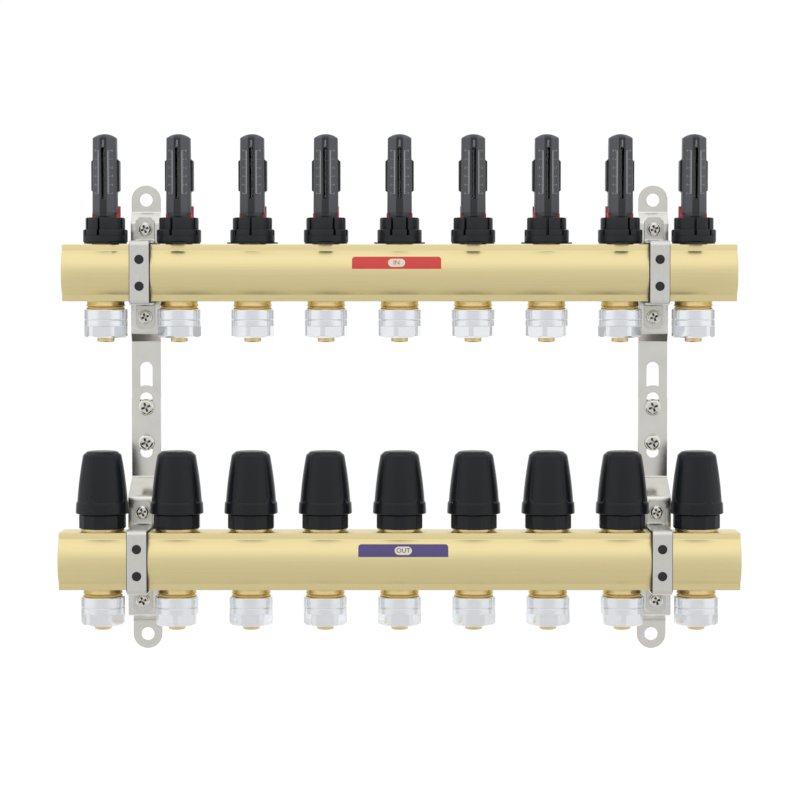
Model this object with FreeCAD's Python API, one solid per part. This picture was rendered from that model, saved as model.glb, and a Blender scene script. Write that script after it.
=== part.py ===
import FreeCAD, Part
import math
import os

from FreeCAD import Vector

# Underfloor heating manifold, nine circuits, in millimetres.
# X runs along the bars, Y runs into the wall and Z is up.
# The wall is the plane Y = 0 and the manifold stands in front of it, at negative Y.
# The origin is the middle of the four wall bolt holes.

# Layout
outlet_count = 9
outlet_pitch = 50.0
bar_length = 456.0
supply_bar_y = -31.0
supply_bar_z = 100.0
return_bar_y = -56.0
return_bar_z = -93.0
bracket_x = 175.0

# Bars: a round section with a flat pad along the top and bottom
bar_radius = 20.5
bar_flat_z = 19.2
bar_shoulder_z = 14.8
bar_pad_half = 13.9
bar_bore_radius = 14.5
end_thread_radius = 15.1455
end_thread_length = 14.0
end_chamfer = 1.2
seat_height = 0.6

# Outlet stubs, G 3/4 male, and the union nuts on them
stub_radius = 13.2
stub_bottom_z = -35.0
stub_passage_radius = 7.9
stub_cone_radius = 10.2
stub_groove_z = -22.6
nut_radius = 14.75
nut_top_z = -24.6
nut_hex_top_z = -36.0
nut_bottom_z = -43.9
nut_across_flats = 27.0
nut_ledge_z = -37.0
nut_hole_radius = 8.2
nut_groove_z = -31.8
insert_radius = 5.8
insert_bore_radius = 4.4
insert_tip_z = -46.9
supply_nut_turns = [-8, 8, 20, 22, 20, 23, 22, -9, 8]
return_nut_turns = [-7, 30, 0, 0, 2, 4, 0, 30, 5]

# Flow meters
meter_seat_radius = 9.2
meter_hole_radius = 8.0
meter_neck_radius = 6.0
meter_neck_top_z = 34.0
meter_plug_z = 12.5
cage_radius = 6.5
cage_bore_radius = 5.4
cage_bottom_z = -23.0
cage_window_width = 6.0
cage_window_low_z = -7.0
cage_window_high_z = 6.0
flange_radius = 14.6
flange_lug_radius = 17.4
flange_lug_width = 9.0
flange_bottom_z = 19.9
flange_thickness = 0.9
dial_lower_radius = 15.1
dial_upper_radius = 13.4
dial_bottom_z = 20.9
dial_step_z = 29.5
dial_top_z = 37.6
dial_cavity_radius = 10.2
dial_cavity_z = 25.0
dial_slit_width = 1.5
dial_slit_depth = 12.2
dial_slit_half_angle = 37.5
lock_clip_radius = 8.9
lock_clip_bottom_z = 36.0
lock_clip_top_z = 40.5
lock_clip_front_y = -2.0
lock_tab_width = 3.2
lock_tab_reach = 10.6
lock_tab_top_z = 45.4
housing_bottom_z = 40.6
housing_top_z = 94.2
housing_side_top_z = 91.3
housing_half_plan = [(2.45, -8.2), (7.4, -4.6), (8.4, -2.6), (8.4, 3.0), (5.2, 7.0)]
housing_top_scale = 0.95
housing_lip_z = 38.0
housing_lip_half = 5.8
housing_spigot_radius = 7.4
tube_outer_radius = 4.6
tube_inner_radius = 3.5
tube_bottom_z = 34.2
tube_top_z = 89.0
window_width = 2.4
window_bottom_z = 50.5
window_top_z = 84.2
wing_half = 9.7
wing_front_y = 0.6
wing_thickness = 5.2
wing_bottom_z = 54.5
wing_top_z = 75.8
wing_slope = 1.5
float_top_z = 87.2
float_marker_height = 2.5
float_rod_radius = 1.2
float_plate_radius = 5.0
dial_turns = [24, 20, 36, -13, 60, 13, -38, -16, -39]
flange_turns = [35, 0, 90, 0, 90, 0, 90, 0, 0]
lock_turns = [-62, -58, -52, -46, 0, 46, 52, 58, 62]

# Return valves and hand knobs
valve_seat_radius = 13.0
valve_hole_radius = 9.0
valve_neck_radius = 14.4
valve_neck_top_z = 29.4
valve_nose_radius = 6.0
valve_nose_top_z = 34.0
valve_face_z = -14.0
spindle_radius = 2.5
spindle_disc_radius = 9.6
spindle_top_z = 37.0
collar_facets = 12
collar_radius = 15.9
collar_bottom_z = 21.2
collar_top_z = 31.0
knob_bottom_z = 31.3
knob_bottom_radius = 18.0
knob_shoulder_z = 71.0
knob_shoulder_radius = 13.5
knob_middle_z = 52.0
knob_middle_radius = 16.5
knob_dome_radius = 10.65
knob_top_z = 73.7
knob_wall = 2.2
panel_count = 4
panel_angle = 84.0
panel_depth = 0.4
panel_bottom_z = 39.0
knob_turns = [23, 1, 6, 3, 0, -3, -6, -1, -23]

# Brackets: 20 x 2 mm strip
strip_width = 20.0
strip_thickness = 2.0
wall_hole_z = 150.5
wall_hole_radius = 4.5
nut_space = 3.5
plate_gap = 0.05
liner_thickness = 1.0
slot_radius = 4.25
upper_slots = ((-27.4, 38.8),)
lower_slots = ((1.9, 17.8), (-27.4, -11.1))
bolt_heights = (7.6, -16.8)
bolt_radius = 3.0
bolt_head_radius = 5.75
bolt_head_height = 3.4
recess_reach = 0.56
recess_width = 1.5
recess_depth = 2.5
square_nut_width = 10.0
square_nut_height = 3.0

# Straps and their screws
strap_width = 13.0
strap_thickness = 1.5
strap_screw_height = 30.2
strap_flange_end = 38.5
strap_screw_radius = 2.4
strap_screw_head_radius = 4.9
strap_screw_head_height = 3.0
rubber_stud_radius = 3.0
rubber_stud_height = 9.0
rubber_stud_proud = 0.4
liner_width = 14.0

# Colour bands on the bar fronts
label_length = 60.0
label_height = 8.2
label_thickness = 0.15
label_corner = 2.0

UP = Vector(0, 0, 1)
ALONG = Vector(1, 0, 0)
ORIGIN = Vector(0, 0, 0)
port_places = [(i - (outlet_count - 1) / 2) * outlet_pitch for i in range(outlet_count)]
bracket_places = (-bracket_x, bracket_x)
shoulder_y = math.sqrt(bar_radius ** 2 - bar_shoulder_z ** 2)


def cylinder(radius, low, high, x=0.0, y=0.0):
    """An upright cylinder between two heights."""
    return Part.makeCylinder(radius, high - low, Vector(x, y, low))


def cylinder_y(radius, front, back, x, z):
    """A cylinder lying front to back."""
    return Part.makeCylinder(radius, back - front, Vector(x, front, z), Vector(0, 1, 0))


def box(x_low, x_high, y_low, y_high, z_low, z_high):
    """A box between its two corners."""
    size = (x_high - x_low, y_high - y_low, z_high - z_low)
    return Part.makeBox(*size, Vector(x_low, y_low, z_low))


def turned(profile):
    """A solid turned about Z from (radius, height) points."""
    points = [Vector(radius, 0, height) for radius, height in profile]
    return Part.Face(Part.makePolygon(points + points[:1])).revolve(ORIGIN, UP, 360)


def spun(shape, degrees):
    """The shape turned about Z."""
    return shape.rotated(ORIGIN, UP, degrees)


def stadium(half_width, low, high, front, back):
    """A plate with round ends, upright in the XZ plane."""
    slab = box(-half_width, half_width, front, back, low + half_width, high - half_width)
    for height in (low + half_width, high - half_width):
        slab = slab.fuse(cylinder_y(half_width, front, back, 0, height))
    return slab.removeSplitter()


def polygon_prism(sides, inner_radius, low, high, turn=0.0):
    """A regular prism with a facet facing the front at no turn."""
    outer = inner_radius / math.cos(math.pi / sides)
    points = []
    for i in range(sides + 1):
        angle = 2 * math.pi * (i + 0.5) / sides - math.pi / 2
        points.append(Vector(outer * math.cos(angle), outer * math.sin(angle), low))
    return spun(Part.Face(Part.makePolygon(points)).extrude(Vector(0, 0, high - low)), turn)


def rounded_face(corners):
    """A flat face in the YZ plane from (y, z, corner radius) points."""
    count = len(corners)
    rounds = []
    for i, (y, z, radius) in enumerate(corners):
        here = Vector(0, y, z)
        back = (Vector(0, *corners[i - 1][:2]) - here).normalize()
        ahead = (Vector(0, *corners[(i + 1) % count][:2]) - here).normalize()
        half_angle = back.getAngle(ahead) / 2
        run = radius / math.tan(half_angle)
        middle = here + (back + ahead).normalize() * (radius / math.sin(half_angle) - radius)
        rounds.append((here + back * run, middle, here + ahead * run, radius))
    edges = []
    for i, (start, middle, end, radius) in enumerate(rounds):
        if radius > 0:
            edges.append(Part.Arc(start, middle, end).toShape())
        edges.append(Part.LineSegment(end, rounds[(i + 1) % count][0]).toShape())
    return Part.Face(Part.Wire(edges))


def bent_strip(points, thickness, width, bend_radius):
    """A strip of sheet bent along a middle line of (y, z) points, centred on X = 0."""
    left = []
    right = []
    path = [Vector(0, y, z) for y, z in points]
    runs = [(end - start).normalize() for start, end in zip(path, path[1:])]
    for i, (y, z) in enumerate(points):
        arriving = runs[max(i - 1, 0)]
        leaving = runs[min(i, len(runs) - 1)]
        normal = Vector(0, -arriving.z, arriving.y)
        side = (normal + Vector(0, -leaving.z, leaving.y)).normalize()
        reach = side * (thickness / 2 / side.dot(normal))
        turn = arriving.cross(leaving).x
        bends = 0 < i < len(runs)
        inner = bend_radius if bends else 0
        outer = bend_radius + thickness if bends else 0
        left.append((y + reach.y, z + reach.z, inner if turn > 0 else outer))
        right.append((y - reach.y, z - reach.z, outer if turn > 0 else inner))
    strip = rounded_face(left + right[::-1]).extrude(Vector(width, 0, 0))
    return strip.translated(Vector(-width / 2, 0, 0))


def fillet_rim(shape, radius, height):
    """The shape with the outermost round edge at one height rounded over."""
    rims = [edge for edge in shape.Edges if abs(edge.BoundBox.ZMin - height) < 1e-4]
    rims = [edge for edge in rims if abs(edge.BoundBox.ZMax - height) < 1e-4]
    widest = max(rims, key=lambda edge: edge.Length)
    return shape.makeFillet(radius, [widest])


def placed(shape, x, bar_y, bar_z):
    """The shape moved from a bar's own axis to its place."""
    return shape.translated(Vector(x, bar_y, bar_z))


def on_supply(shapes):
    """One shape or a list of them set along the supply bar's ports."""
    shapes = shapes if isinstance(shapes, list) else [shapes] * outlet_count
    return [placed(shape, x, supply_bar_y, supply_bar_z) for shape, x in zip(shapes, port_places)]


def on_return(shapes):
    """One shape or a list of them set along the return bar's ports."""
    shapes = shapes if isinstance(shapes, list) else [shapes] * outlet_count
    return [placed(shape, x, return_bar_y, return_bar_z) for shape, x in zip(shapes, port_places)]


def write(name, solids):
    """Write one node, of one solid or a group of like solids."""
    solids = solids if isinstance(solids, list) else [solids]
    shape = solids[0] if len(solids) == 1 else Part.makeCompound(solids)
    shape.exportStep("parts/" + name + ".step")


# Bars -----------------------------------------------------------------------

def bar_section():
    """The bar's outer section, in the YZ plane: two arcs between two upright pads."""
    pads = []
    for up in (1, -1):
        outline = [(-shoulder_y, bar_shoulder_z), (-bar_pad_half, bar_flat_z),
                   (bar_pad_half, bar_flat_z), (shoulder_y, bar_shoulder_z)]
        points = [Vector(0, y * up, z * up) for y, z in outline]
        pads.append(Part.makePolygon(points).Edges)
    back_arc = Part.Arc(Vector(0, shoulder_y, bar_shoulder_z), Vector(0, bar_radius, 0),
                        Vector(0, shoulder_y, -bar_shoulder_z))
    front_arc = Part.Arc(Vector(0, -shoulder_y, -bar_shoulder_z), Vector(0, -bar_radius, 0),
                         Vector(0, -shoulder_y, bar_shoulder_z))
    return Part.Face(Part.Wire(pads[0] + [back_arc.toShape()] + pads[1] + [front_arc.toShape()]))


def bar_prism(length):
    """A length of solid bar, centred on X = 0."""
    prism = bar_section().extrude(Vector(length, 0, 0))
    return prism.translated(Vector(-length / 2, 0, 0))


def bar(seat_radius, hole_radius, faced):
    """A bar about its own axis, with its seats, stubs, waterway and end threads."""
    groove = turned([(stub_radius - 0.7, stub_groove_z), (stub_radius + 1, stub_groove_z + 0.7),
                     (stub_radius + 1, stub_groove_z - 0.7)])
    stub = cylinder(stub_radius, stub_bottom_z, -bar_shoulder_z).cut(groove)
    seat = cylinder(seat_radius, bar_shoulder_z, bar_flat_z + seat_height)
    port = stub.fuse(seat)
    cone = turned([(0, stub_bottom_z), (stub_cone_radius, stub_bottom_z),
                   (stub_passage_radius, stub_bottom_z + 6), (0, stub_bottom_z + 6)])
    passage = cylinder(stub_passage_radius, stub_bottom_z, 0).fuse(cone)
    passage = passage.fuse(cylinder(hole_radius, 0, bar_flat_z + seat_height + 1))
    if faced:
        passage = passage.fuse(cylinder(spindle_disc_radius + 0.9, valve_face_z, 0))
    solid = bar_prism(bar_length)
    solid = solid.fuse([port.translated(Vector(x, 0, 0)) for x in port_places])
    half = bar_length / 2
    waterway = Part.makeCylinder(bar_bore_radius, bar_length, Vector(-half, 0, 0), ALONG)
    cuts = [passage.translated(Vector(x, 0, 0)) for x in port_places]
    for side in (-1, 1):
        mouth = Vector(side * half, 0, 0)
        inward = Vector(-side, 0, 0)
        cuts.append(Part.makeCylinder(end_thread_radius, end_thread_length, mouth, inward))
        cuts.append(Part.makeCone(end_thread_radius + end_chamfer, end_thread_radius,
                                  end_chamfer, mouth, inward))
    return solid.cut([waterway] + cuts).removeSplitter()


def label():
    """A thin coloured band lying on the front of a bar, its upper corners rounded."""
    skin = Part.makeCylinder(bar_radius + label_thickness, label_length,
                             Vector(-label_length / 2, 0, 0), ALONG)
    skin = skin.cut(Part.makeCylinder(bar_radius + 0.02, label_length,
                                      Vector(-label_length / 2, 0, 0), ALONG))
    outline = box(-label_length / 2, label_length / 2, -bar_radius - 2, 0, 0, label_height)
    corners = [edge for edge in outline.Edges if abs(edge.BoundBox.ZMin - label_height) < 1e-4]
    corners = [edge for edge in corners if edge.BoundBox.YLength > 1]
    return outline.makeFillet(label_corner, corners), skin


def band(x, bottom_z):
    """The band at its place along a bar's own axis."""
    outline, skin = label()
    return skin.translated(Vector(x, 0, 0)).common(outline.translated(Vector(x, 0, bottom_z)))


# Union nuts and pipe inserts ------------------------------------------------

def union_nut(turn):
    """A nut, round above and hexagonal below, open at the bottom for the pipe."""
    thread_radius = stub_radius + 0.05
    nut = turned([(thread_radius, nut_top_z), (nut_radius - 0.5, nut_top_z),
                  (nut_radius, nut_top_z - 0.5), (nut_radius, nut_groove_z + 0.25),
                  (nut_radius - 0.3, nut_groove_z), (nut_radius, nut_groove_z - 0.25),
                  (nut_radius, nut_bottom_z + 1.3), (nut_radius - 1.6, nut_bottom_z),
                  (nut_hole_radius, nut_bottom_z), (nut_hole_radius, nut_ledge_z),
                  (thread_radius, nut_ledge_z)])
    hexagon = polygon_prism(6, nut_across_flats / 2, nut_bottom_z - 1, nut_hex_top_z)
    trim = cylinder(nut_radius + 2, nut_bottom_z - 1, nut_hex_top_z).cut(hexagon)
    return spun(nut.cut(trim), turn)


def pipe_insert():
    """The brass tail that the pipe is pushed over, with its cone and shoulder."""
    shoulder_z = stub_bottom_z - 0.05
    return turned([(insert_bore_radius, insert_tip_z), (insert_radius - 0.4, insert_tip_z),
                   (insert_radius, insert_tip_z + 0.5), (insert_radius, nut_ledge_z + 0.1),
                   (stub_radius - 0.6, nut_ledge_z + 0.1), (stub_radius - 0.6, shoulder_z),
                   (stub_cone_radius - 0.3, shoulder_z),
                   (stub_passage_radius - 0.3, stub_bottom_z + 5),
                   (insert_bore_radius, stub_bottom_z + 5)])


# Flow meters ----------------------------------------------------------------

def meter_valve_body():
    """The brass body screwed into the bar, with its cage inside and neck above."""
    rod_bore = float_rod_radius + 0.1
    plug = meter_hole_radius - 0.05
    seat_z = bar_flat_z + seat_height
    body = turned([(rod_bore, meter_plug_z), (cage_bore_radius, meter_plug_z),
                   (cage_bore_radius, cage_bottom_z), (cage_radius, cage_bottom_z),
                   (cage_radius, meter_plug_z), (plug, meter_plug_z), (plug, seat_z),
                   (meter_neck_radius, seat_z), (meter_neck_radius, meter_neck_top_z),
                   (rod_bore, meter_neck_top_z)])
    half = cage_window_width / 2
    window = box(-meter_hole_radius, meter_hole_radius, -half, half, cage_window_low_z,
                 cage_window_high_z)
    return body.cut([window, spun(window, 90)])


def meter_flange(turn):
    """The thin plate under the dial, with two lugs."""
    low = flange_bottom_z
    high = low + flange_thickness
    lugs = cylinder(flange_lug_radius, low, high)
    half = flange_lug_width / 2
    lugs = lugs.common(box(-half, half, -20, 20, low, high))
    plate = cylinder(flange_radius, low, high).fuse(lugs)
    return spun(plate.cut(cylinder(meter_neck_radius + 0.1, low, high)), turn)


def flow_dial(turn):
    """The two-step collar that sets the flow, slit into six fingers."""
    dial = turned([(meter_neck_radius + 0.05, dial_bottom_z), (dial_lower_radius, dial_bottom_z),
                   (dial_lower_radius, dial_step_z - 0.7), (dial_lower_radius - 0.5, dial_step_z),
                   (dial_upper_radius, dial_step_z), (dial_upper_radius, dial_top_z - 0.9),
                   (dial_upper_radius - 0.7, dial_top_z), (dial_cavity_radius, dial_top_z),
                   (dial_cavity_radius, dial_cavity_z), (meter_neck_radius + 0.05, dial_cavity_z)])
    half = dial_slit_width / 2
    low = dial_top_z - dial_slit_depth
    slit = box(-half, half, -dial_lower_radius - 1, -dial_cavity_radius + 0.8, low, dial_top_z + 1)
    slits = []
    for third in (0, 120, 240):
        for side in (-dial_slit_half_angle, dial_slit_half_angle):
            slits.append(spun(slit, third + side))
    return spun(dial.cut(slits), turn)


def lock_clip(turn):
    """The red clip between dial and housing, open at the front, with its release tab."""
    clip = cylinder(lock_clip_radius, lock_clip_bottom_z, lock_clip_top_z)
    clip = clip.cut(cylinder(housing_spigot_radius + 0.05, lock_clip_bottom_z, lock_clip_top_z))
    reach = lock_clip_radius + 1
    clip = clip.cut(box(-reach, reach, -reach, lock_clip_front_y, 0, housing_top_z))
    half = lock_tab_width / 2
    tab = box(-half, half, lock_clip_radius - 0.8, lock_tab_reach, dial_top_z + 0.3,
              lock_tab_top_z)
    clear = cylinder(lock_clip_radius + 0.2, lock_clip_top_z, lock_tab_top_z)
    return clip.fuse(spun(tab, turn).cut(clear)).removeSplitter()


def housing_outline(scale, z):
    """The housing's plan at one height: a narrow front facet and two scale facets."""
    plan = housing_half_plan + [(-x, y) for x, y in reversed(housing_half_plan)]
    points = [Vector(x * scale, y * scale, z) for x, y in plan]
    return Part.makePolygon(points + points[:1])


def front_prism(half_shape, front, depth):
    """A prism running back from the front, mirrored about X = 0, from (x, z) points."""
    outline = half_shape + [(-x, z) for x, z in reversed(half_shape)]
    points = [Vector(x, front, z) for x, z in outline]
    return Part.Face(Part.makePolygon(points + points[:1])).extrude(Vector(0, depth, 0))


def meter_housing():
    """The upright housing, with its window, side wings, front lip, spigot and bore."""
    shell = Part.makeLoft([housing_outline(1.0, housing_bottom_z),
                           housing_outline(housing_top_scale, housing_top_z + 1)], True, True)
    half = housing_half_plan[2][0] * housing_top_scale
    drop = housing_top_z - housing_side_top_z
    dome_radius = (half ** 2 + drop ** 2) / (2 * drop)
    dome_z = housing_top_z - dome_radius
    dome = Part.makeSphere(dome_radius, Vector(0, 0, dome_z))
    crown = box(-dome_radius, dome_radius, -dome_radius, dome_radius, dome_z, housing_top_z + 2)
    shell = shell.cut(crown.cut(dome))
    wings = front_prism([(wing_half, wing_bottom_z + wing_slope), (wing_half, wing_top_z),
                         (housing_half_plan[0][0], wing_top_z + wing_slope)],
                        wing_front_y, wing_thickness)
    wings = wings.cut(box(-wing_half, wing_half, 0, 10, wing_bottom_z - 2, wing_bottom_z))
    front = housing_half_plan[0][1]
    lip = front_prism([(housing_lip_half, housing_lip_z),
                       (housing_half_plan[1][0], housing_bottom_z)], front, -front)
    lip = lip.common(Part.Face(housing_outline(1.0, housing_lip_z)).extrude(
        Vector(0, 0, housing_bottom_z - housing_lip_z)))
    lip = lip.cut(box(-wing_half, wing_half, lock_clip_front_y - 0.4, 10, housing_lip_z - 1,
                      housing_bottom_z))
    spigot = cylinder(housing_spigot_radius, dial_cavity_z + 0.6, housing_bottom_z)
    solid = shell.fuse([wings, lip, spigot])
    solid = solid.cut(cylinder(meter_neck_radius + 0.05, 20, tube_bottom_z - 0.1))
    solid = solid.cut(cylinder(tube_outer_radius + 0.05, tube_bottom_z - 0.2, tube_top_z + 0.2))
    half = window_width / 2
    window = box(-half, half, -10, -tube_inner_radius, window_bottom_z + half, window_top_z)
    window = window.fuse(cylinder_y(half, -10, -tube_inner_radius, 0, window_bottom_z + half))
    return solid.cut(window).removeSplitter()


def sight_tube():
    """The clear tube that the float moves in."""
    return turned([(tube_inner_radius, tube_bottom_z), (tube_outer_radius, tube_bottom_z),
                   (tube_outer_radius, tube_top_z), (tube_inner_radius, tube_top_z)])


def flow_float():
    """The red marker, its rod and the plate that the water pushes down."""
    marker = cylinder(tube_inner_radius - 0.3, float_top_z - float_marker_height, float_top_z)
    rod = cylinder(float_rod_radius, 10.5, float_top_z - 1)
    plate = cylinder(float_plate_radius, 10, 11.5)
    return marker.fuse([rod, plate]).removeSplitter()


# Return valves --------------------------------------------------------------

def valve_insert():
    """The brass insert that guides the spindle, with its collar thread outside."""
    bore = spindle_radius + 0.05
    seat_z = bar_flat_z + seat_height + 0.05
    return turned([(bore, 2), (5, 2), (5, 9), (valve_hole_radius - 0.05, 9),
                   (valve_hole_radius - 0.05, seat_z), (valve_neck_radius, seat_z),
                   (valve_neck_radius, valve_neck_top_z), (valve_nose_radius, valve_neck_top_z),
                   (valve_nose_radius, valve_nose_top_z), (bore, valve_nose_top_z)])


def valve_spindle():
    """The pin that the knob moves, with the disc that closes the outlet."""
    disc_z = valve_face_z + 0.1
    return turned([(0, disc_z), (spindle_disc_radius, disc_z), (spindle_disc_radius, disc_z + 2),
                   (spindle_radius, disc_z + 2), (spindle_radius, spindle_top_z),
                   (0, spindle_top_z)])


def knob_collar():
    """The faceted black nut between bar and knob."""
    collar = polygon_prism(collar_facets, collar_radius * math.cos(math.pi / collar_facets),
                           collar_bottom_z, collar_top_z)
    inside = cylinder(valve_neck_radius + 0.05, collar_bottom_z, valve_neck_top_z + 0.1)
    hole = cylinder(valve_nose_radius + 0.1, valve_neck_top_z, collar_top_z)
    return collar.cut(inside.fuse(hole))


def knob_side_arc():
    """The slightly crowned side of the knob."""
    return Part.Arc(Vector(knob_bottom_radius, 0, knob_bottom_z),
                    Vector(knob_middle_radius, 0, knob_middle_z),
                    Vector(knob_shoulder_radius, 0, knob_shoulder_z))


def knob_outer_radius(z):
    """The knob's outer radius at a height, on its crowned side."""
    arc = knob_side_arc().toShape().Curve
    return arc.Center.x + math.sqrt(arc.Radius ** 2 - (z - arc.Center.z) ** 2)


def knob(turn):
    """The hand knob: a hollow tapered cap with four wide shallow panels."""
    dome_edge_z = knob_top_z - 0.7
    inside = knob_bottom_radius - knob_wall
    outline = [(knob_shoulder_radius, knob_shoulder_z), (knob_dome_radius, dome_edge_z),
               (knob_dome_radius * 0.6, knob_top_z - 0.25), (0, knob_top_z),
               (0, spindle_top_z + 0.05), (5, spindle_top_z + 0.05), (5, 69), (11.0, 69),
               (inside - 0.9, 50), (inside, knob_bottom_z), (knob_bottom_radius, knob_bottom_z)]
    edges = [knob_side_arc().toShape()]
    for start, end in zip(outline, outline[1:]):
        edges.append(Part.LineSegment(Vector(start[0], 0, start[1]),
                                      Vector(end[0], 0, end[1])).toShape())
    cap = Part.Face(Part.Wire(edges)).revolve(ORIGIN, UP, 360)
    far = knob_bottom_radius + 5
    top = knob_shoulder_z + 0.6
    heights = [panel_bottom_z, (panel_bottom_z + knob_shoulder_z) / 2, knob_shoulder_z, top]
    reaches = [knob_outer_radius(z) - panel_depth for z in heights]
    points = [Vector(reach, 0, z) for reach, z in zip(reaches, heights)]
    points += [Vector(far, 0, top), Vector(far, 0, panel_bottom_z)]
    panel = Part.Face(Part.makePolygon(points + points[:1])).revolve(ORIGIN, UP, panel_angle)
    panels = []
    for i in range(panel_count):
        centre = turn - 90 + 360 / panel_count * i
        panels.append(spun(panel, centre - panel_angle / 2))
    return cap.cut(panels)


# Brackets -------------------------------------------------------------------

supply_seat_y = supply_bar_y + bar_radius + liner_thickness
return_seat_y = return_bar_y + bar_radius + liner_thickness
upper_slot_y = -nut_space - strip_thickness / 2
lower_slot_y = upper_slot_y - strip_thickness - plate_gap
wall_y = -strip_thickness / 2


def bracket_plate(points, slots, seat_z, low, high, hole_z):
    """One bent plate, its ends rounded, with its slots, wall hole and screw holes."""
    plate = bent_strip(points, strip_thickness, strip_width, 1.5)
    plate = plate.common(stadium(strip_width / 2, low, high, -60, 0))
    cuts = [stadium(slot_radius, *ends, -12, 0) for ends in slots]
    cuts.append(cylinder_y(wall_hole_radius, -5, 1, 0, hole_z))
    for side in (-1, 1):
        height = seat_z + side * strap_screw_height
        cuts.append(cylinder_y(strap_screw_radius + 0.05, -60, 0, 0, height))
    return plate.cut(cuts)


def upper_plate():
    """The plate that holds the supply bar and carries the slot bolts."""
    seat = supply_seat_y + strip_thickness / 2
    ear_end = wall_hole_z + strip_width / 2
    points = [(wall_y, ear_end), (wall_y, 141.6), (seat, 134.6), (seat, 59.2),
              (upper_slot_y, 53), (upper_slot_y, -39.5)]
    return bracket_plate(points, upper_slots, supply_bar_z, -39.5, ear_end, wall_hole_z)


def lower_plate():
    """The plate that holds the return bar, in front of the upper one."""
    seat = return_seat_y + strip_thickness / 2
    ear_end = -wall_hole_z - strip_width / 2
    points = [(lower_slot_y, 22.7), (lower_slot_y, -41.4), (seat, -53), (seat, -132.6),
              (wall_y, -140.2), (wall_y, ear_end)]
    return bracket_plate(points, lower_slots, return_bar_z, ear_end, 22.7, -wall_hole_z)


def strap():
    """The clamp over a bar, about the bar's own axis, with two holes for the rubber."""
    reach = bar_radius + liner_thickness
    back = reach - strap_thickness / 2
    front = -reach - strap_thickness / 2
    edge = bar_flat_z + liner_thickness + strap_thickness / 2
    points = [(back, strap_flange_end), (back, edge), (front, edge),
              (front, -edge), (back, -edge), (back, -strap_flange_end)]
    bent = bent_strip(points, strap_thickness, strap_width, 2.0)
    cuts = []
    for side in (-1, 1):
        cuts.append(cylinder_y(rubber_stud_radius + 0.05, -40, 0, 0, side * rubber_stud_height))
        cuts.append(cylinder_y(strap_screw_radius + 0.3, 10, 40, 0, side * strap_screw_height))
        for edge_x in (-1, 1):
            corner = box(-2, 2, 10, 40, -2, 2).rotated(ORIGIN, Vector(0, 1, 0), 45)
            place = Vector(edge_x * strap_width / 2, 0, side * strap_flange_end)
            cuts.append(corner.translated(place))
    return bent.cut(cuts)


def strap_liner():
    """The rubber between strap and bar, with two studs through the strap."""
    reach = bar_radius + liner_thickness
    edge = bar_flat_z + liner_thickness
    outline = rounded_face([(-reach, -edge, 2.0), (reach, -edge, 0.5),
                            (reach, edge, 0.5), (-reach, edge, 2.0)])
    block = outline.extrude(Vector(liner_width, 0, 0)).translated(Vector(-liner_width / 2, 0, 0))
    proud = -reach - strap_thickness - rubber_stud_proud
    studs = [cylinder_y(rubber_stud_radius, proud, -reach + 0.5, 0, side * rubber_stud_height)
             for side in (-1, 1)]
    return block.fuse(studs).cut(bar_prism(liner_width + 2))


def pan_screw(head_radius, head_height, shank_radius, shank_length):
    """A pan-head screw with a cross recess, its head facing the front at Y = 0."""
    head = fillet_rim(cylinder(head_radius, 0, head_height), head_height * 0.7, head_height)
    shank = cylinder(shank_radius, -shank_length, 0.5)
    arm = head_radius * recess_reach
    half = recess_width / 2
    slot = box(-arm, arm, -half, half, head_height - recess_depth, head_height + 1)
    screw = head.fuse(shank).cut([slot, spun(slot, 90)])
    return spun(screw, 20).rotated(ORIGIN, ALONG, 90)


def strap_screws(bar_y, bar_z):
    """The four screws that hold one bar's straps."""
    flange_y = bar_y + bar_radius + liner_thickness - strap_thickness
    screw = pan_screw(strap_screw_head_radius, strap_screw_head_height,
                      strap_screw_radius, strap_thickness + strip_thickness + 2)
    screws = []
    for x in bracket_places:
        for side in (-1, 1):
            height = bar_z + side * strap_screw_height
            screws.append(screw.translated(Vector(x, flange_y, height)))
    return screws


def bracket_bolts():
    """The four slot bolts and the square nuts behind them."""
    head_y = lower_slot_y - strip_thickness / 2 - plate_gap
    nut_back = -0.4
    bolt = pan_screw(bolt_head_radius, bolt_head_height, bolt_radius, nut_back - head_y - 0.1)
    half = square_nut_width / 2
    nut = box(-half, half, nut_back - square_nut_height, nut_back, -half, half)
    nut = nut.cut(cylinder_y(bolt_radius + 0.05, -10, 1, 0, 0))
    pieces = []
    for x in bracket_places:
        for height in bolt_heights:
            pieces.append(bolt.translated(Vector(x, head_y, height)))
            pieces.append(nut.translated(Vector(x, 0, height)))
    return pieces


def at_brackets(shape, y=0.0, z=0.0):
    """The shape at both brackets."""
    return [shape.translated(Vector(x, y, z)) for x in bracket_places]


os.makedirs("parts", exist_ok=True)

write("supply_bar", placed(bar(meter_seat_radius, meter_hole_radius, False),
                           0, supply_bar_y, supply_bar_z))
write("return_bar", placed(bar(valve_seat_radius, valve_hole_radius, True),
                           0, return_bar_y, return_bar_z))
write("supply_label", placed(band(-2.0, 2.7), 0, supply_bar_y, supply_bar_z))
write("return_label", placed(band(2.5, 3.8), 0, return_bar_y, return_bar_z))

write("supply_union_nuts", on_supply([union_nut(turn) for turn in supply_nut_turns]))
write("return_union_nuts", on_return([union_nut(turn) for turn in return_nut_turns]))
write("supply_pipe_inserts", on_supply(pipe_insert()))
write("return_pipe_inserts", on_return(pipe_insert()))

write("meter_valve_bodies", on_supply(meter_valve_body()))
write("meter_base_flanges", on_supply([meter_flange(turn) for turn in flange_turns]))
write("meter_lock_clips", on_supply([lock_clip(turn) for turn in lock_turns]))
write("meter_housings", on_supply(meter_housing()))
write("meter_sight_tubes", on_supply(sight_tube()))
dials = on_supply([flow_dial(turn) for turn in dial_turns])
floats = on_supply(flow_float())

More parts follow.
